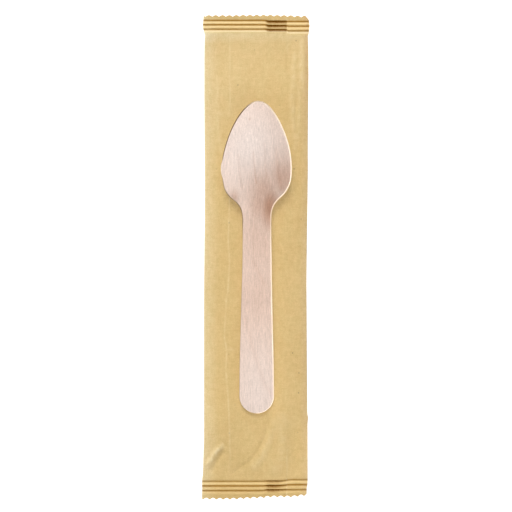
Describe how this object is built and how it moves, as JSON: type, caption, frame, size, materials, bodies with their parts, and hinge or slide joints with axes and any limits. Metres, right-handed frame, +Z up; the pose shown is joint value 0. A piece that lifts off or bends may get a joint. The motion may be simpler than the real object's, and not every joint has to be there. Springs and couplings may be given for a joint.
{
  "type": "wooden cutlery pack",
  "caption": "Flat sealed kraft paper sachet with crimped, zigzag-cut ends and a folded back fin, and a pressed wooden teaspoon lying on its front.",
  "frame": {"origin": "middle of the underside that the sachet lies on", "axes": "+Y along the sachet towards the spoon's tip, +X to the right seen from above, +Z up out of the sachet's front"},
  "size_m": [0.0376, 0.17, 0.0087],
  "materials": {
    "kraft_paper": "uncoated brown kraft, matte",
    "birch_wood": "smooth uncoated birch veneer"
  },
  "bodies": {
    "root": {"paper_sachet": "kraft_paper", "wooden_spoon": "birch_wood"}
  },
  "joints": []
}
